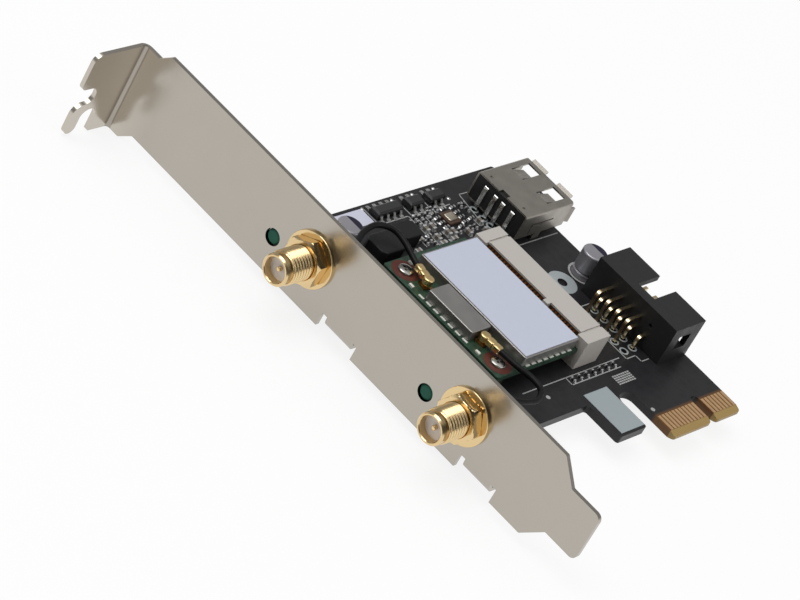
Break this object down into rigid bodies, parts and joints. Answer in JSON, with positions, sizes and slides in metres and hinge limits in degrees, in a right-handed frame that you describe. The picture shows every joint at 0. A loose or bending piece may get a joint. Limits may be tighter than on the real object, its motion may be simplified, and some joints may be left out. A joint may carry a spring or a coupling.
{
  "type": "wireless network card",
  "caption": "Low-profile-board wireless network card on a full-height bracket: edge contacts, shielded radio module in a socket, threaded antenna jacks, a port and a shrouded header.",
  "frame": {"origin": "middle of the key in the card edge, at the contact end, on the component face of the board", "axes": "+X from the bracket to the far edge, +Y from the contacts to the screw tab, +Z out of the component face"},
  "size_m": [0.0807, 0.12, 0.0207],
  "materials": {
    "bracket_steel": "satin nickel plate",
    "black_laminate": "black solder mask",
    "green_laminate": "green solder mask",
    "gold_plate": "polished gold plate",
    "label_paper": "matt label stock",
    "ptfe": "white insulator",
    "cable_jacket": "black cable jacket",
    "light_lens": "tinted lens",
    "tin": "tinned metal",
    "screw_steel": "plated screw",
    "shield_steel": "tinned sheet",
    "socket_plastic": "off-white moulding",
    "spring_bronze": "spring bronze",
    "port_steel": "nickel plated sheet",
    "black_plastic": "black moulding",
    "can_aluminium": "can with bare top",
    "ferrite": "dark ferrite",
    "chip_resin": "moulding compound",
    "crystal_ceramic": "brown ceramic",
    "crystal_lid": "pale metal lid",
    "resistor_body": "dark glaze",
    "capacitor_body": "tan ceramic"
  },
  "bodies": {
    "root": {"bracket": "bracket_steel", "bracket_screws": "screw_steel", "can_capacitor_far": "can_aluminium", "can_capacitor_near": "can_aluminium", "can_leads": "tin", "card_socket": "socket_plastic", "chip_capacitors": "capacitor_body", "chip_leads": "tin", "chip_resistors": "resistor_body", "choke_far": "ferrite", "choke_near": "ferrite", "coax_lower": "cable_jacket", "coax_plug_lower": "gold_plate", "coax_plug_upper": "gold_plate", "coax_upper": "cable_jacket", "corner_label": "label_paper", "crimp_sleeve_lower": "gold_plate", "crimp_sleeve_upper": "gold_plate", "crystal_lid": "crystal_lid", "crystal_tray": "crystal_ceramic", "edge_contacts": "gold_plate", "header_pins": "gold_plate", "header_shroud": "black_plastic", "jack_body_lower": "gold_plate", "jack_body_upper": "gold_plate", "jack_insulator_lower": "ptfe", "jack_insulator_upper": "ptfe", "jack_nuts": "gold_plate", "jack_pin_lower": "gold_plate", "jack_pin_upper": "gold_plate", "jack_washers": "gold_plate", "light_leads": "tin", "main_board": "black_laminate", "main_shield": "shield_steel", "module_screws": "screw_steel", "module_standoffs": "tin", "port_insulator": "black_plastic", "port_pins": "tin", "port_shell": "port_steel", "power_chip_far": "chip_resin", "power_chip_middle": "chip_resin", "power_chip_near": "chip_resin", "radio_board": "green_laminate", "receptacle_lower": "gold_plate", "receptacle_upper": "gold_plate", "shield_label": "label_paper", "small_shield": "shield_steel", "socket_springs": "spring_bronze", "status_light_lower": "light_lens", "status_light_upper": "light_lens", "stub_label": "label_paper"}
  },
  "joints": []
}
